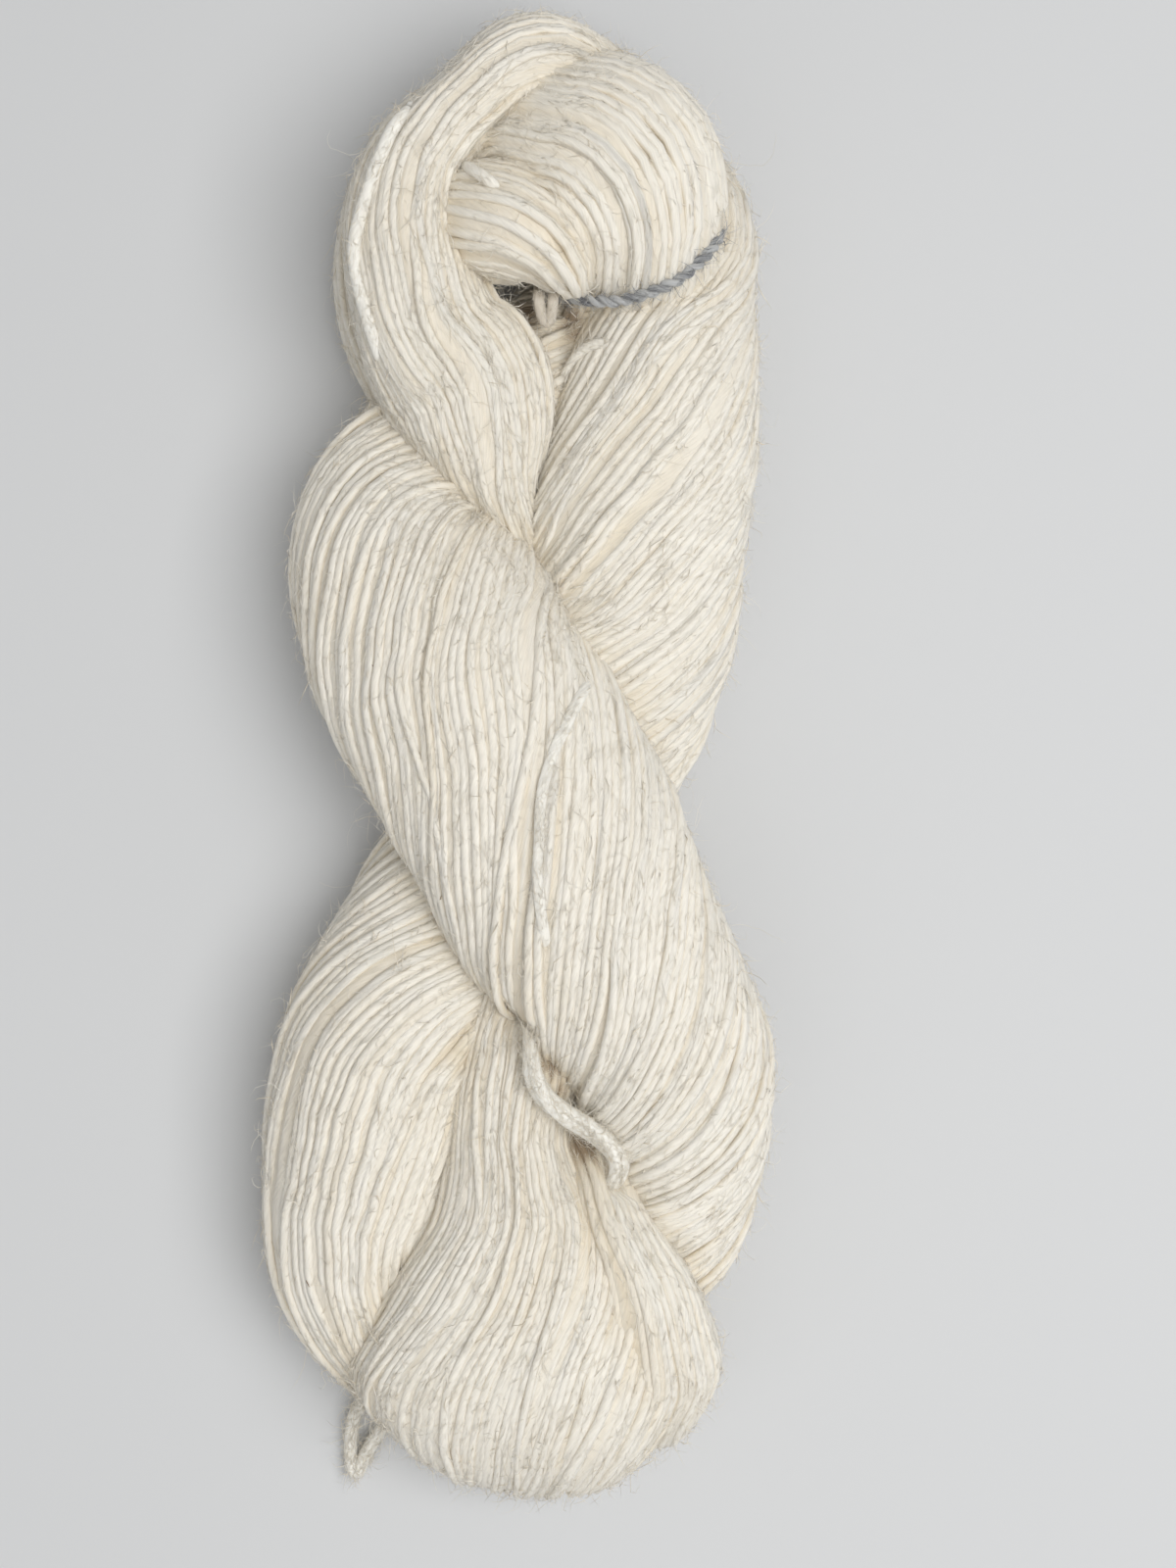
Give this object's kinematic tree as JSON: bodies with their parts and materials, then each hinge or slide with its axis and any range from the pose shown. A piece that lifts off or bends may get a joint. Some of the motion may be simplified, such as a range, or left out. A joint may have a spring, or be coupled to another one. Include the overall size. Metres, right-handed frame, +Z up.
{
  "type": "twisted hank of handspun yarn",
  "caption": "Long hank of soft handspun wool yarn, twisted and folded back on itself with one end tucked through, lying flat ready to be opened and wound for knitting.",
  "frame": {"origin": "middle of the hank's outline, on the surface that it lies on", "axes": "+Y along the hank towards its tucked end, +Z up from the surface, +X to the right seen from above with +Y away"},
  "size_m": [0.1014, 0.2892, 0.0501],
  "materials": {
    "natural_wool": "matt undyed cream wool, softly spun singles with a halo of loose fibres",
    "white_wool": "matt whiter wool where the yarn lies slack and has less twist",
    "grey_wool": "matt two-ply wool, marled light and dark grey"
  },
  "bodies": {
    "root": {"hank_body": "natural_wool", "grey_tie": "grey_wool", "loose_end": "white_wool", "slack_bight": "white_wool"}
  },
  "joints": []
}
